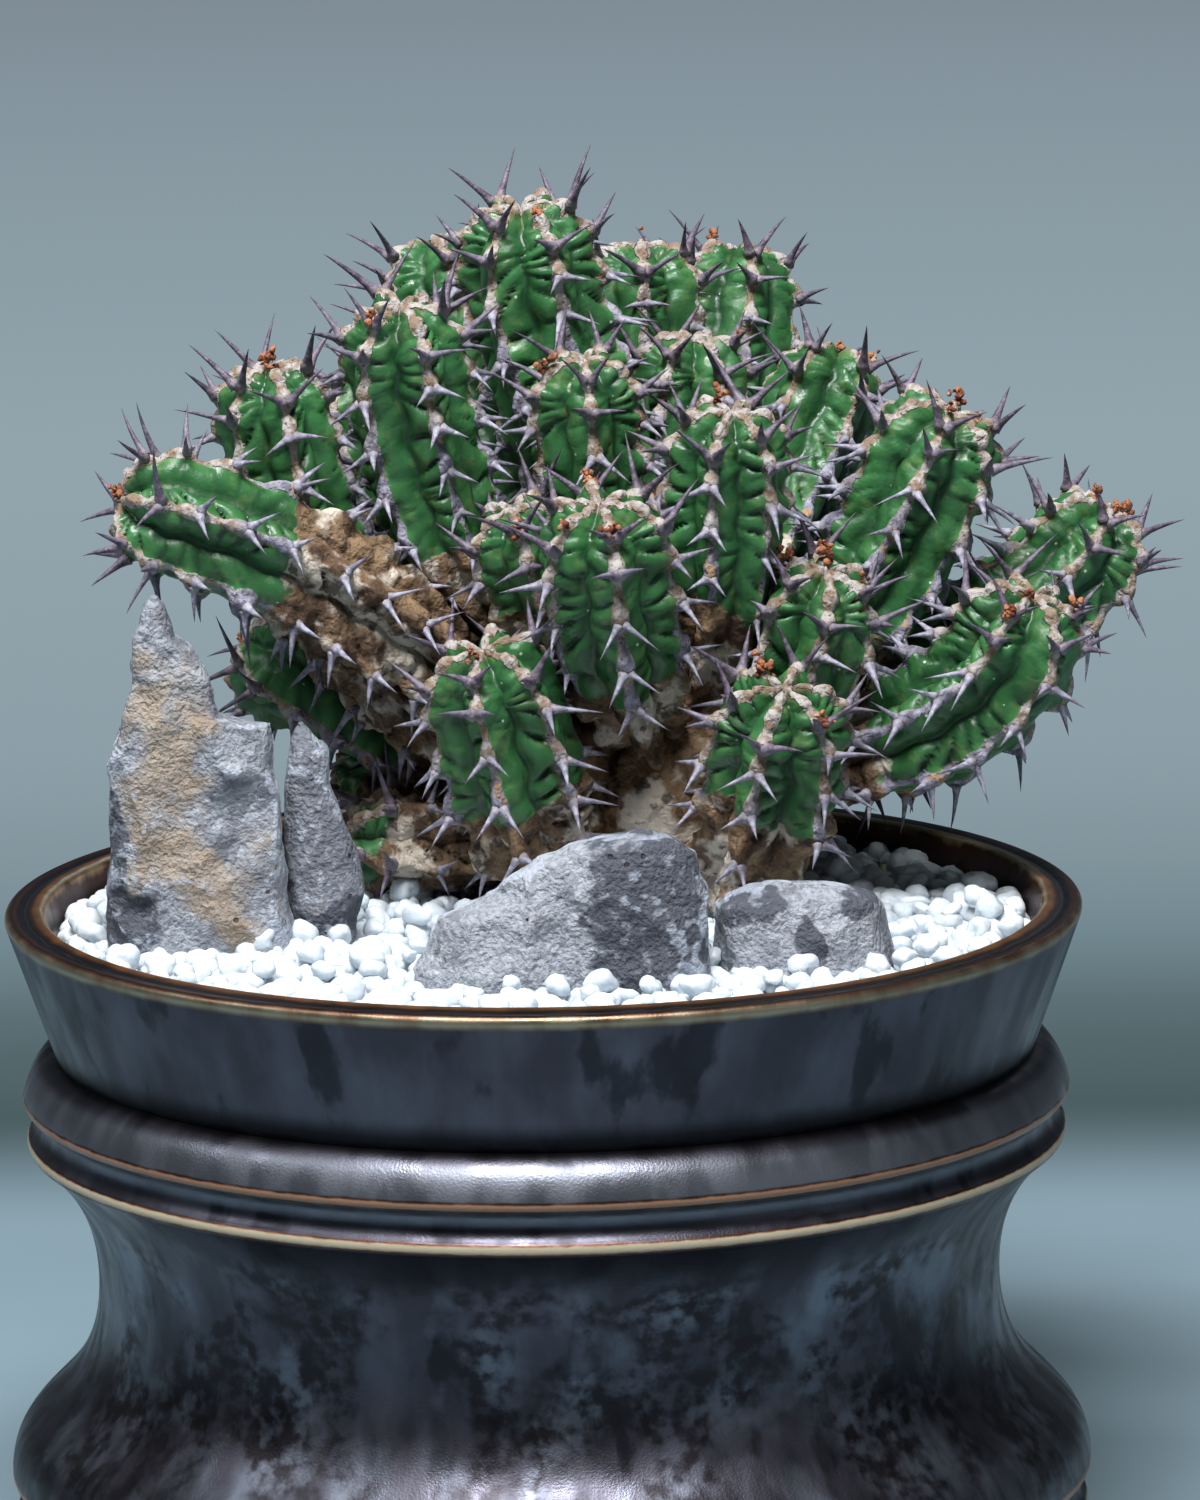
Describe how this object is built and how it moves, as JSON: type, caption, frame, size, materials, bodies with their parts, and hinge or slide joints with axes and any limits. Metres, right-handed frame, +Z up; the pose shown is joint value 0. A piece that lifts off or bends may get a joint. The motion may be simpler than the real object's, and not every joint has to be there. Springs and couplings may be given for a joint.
{
  "type": "potted euphorbia",
  "caption": "Round waisted stoneware pot with a flared collar, filled with white gravel and grey stones, holding a spiny clump of ribbed succulent stems.",
  "frame": {"origin": "middle of the pot's flat underside", "axes": "+Z up through the pot's axis, +Y towards the back, +X to the right seen from the front"},
  "size_m": [0.18, 0.1761, 0.202],
  "materials": {
    "glazed_stoneware": "satin",
    "plastic_screen": "matte",
    "soil": "matte",
    "white_gravel": "satin",
    "grey_stone": "matte",
    "corky_bark": "matte",
    "green_stem": "satin"
  },
  "bodies": {
    "root": {"pot": "glazed_stoneware", "drain_screen": "plastic_screen", "soil": "soil", "gravel": "white_gravel", "trunk": "corky_bark", "stem_far_left": "green_stem", "stem_left": "green_stem", "stem_left_rear": "green_stem", "stem_upper_left": "green_stem", "stem_crown_rear_left": "green_stem", "stem_crown": "green_stem", "stem_crown_rear": "green_stem", "stem_crown_rear_right": "green_stem", "stem_upper_right": "green_stem", "stem_right_rear": "green_stem", "stem_centre": "green_stem", "stem_centre_right": "green_stem", "stem_front": "green_stem", "stem_front_left": "green_stem", "stem_front_right": "green_stem", "stem_low_front": "green_stem", "stem_right": "green_stem", "stem_far_right_rear": "green_stem", "stem_far_right": "green_stem", "stem_low_left": "green_stem", "stem_creeping_left": "green_stem", "stem_creeping_front": "green_stem", "stem_inner_left": "green_stem", "stem_rear_left": "green_stem", "stem_rear": "green_stem", "stem_rear_right": "green_stem", "stem_low_rear": "green_stem", "stem_low_rear_right": "green_stem", "stem_low_rear_left": "green_stem", "stone_tall": "grey_stone", "stone_spire": "grey_stone", "stone_front": "grey_stone", "stone_low_right": "grey_stone"}
  },
  "joints": []
}
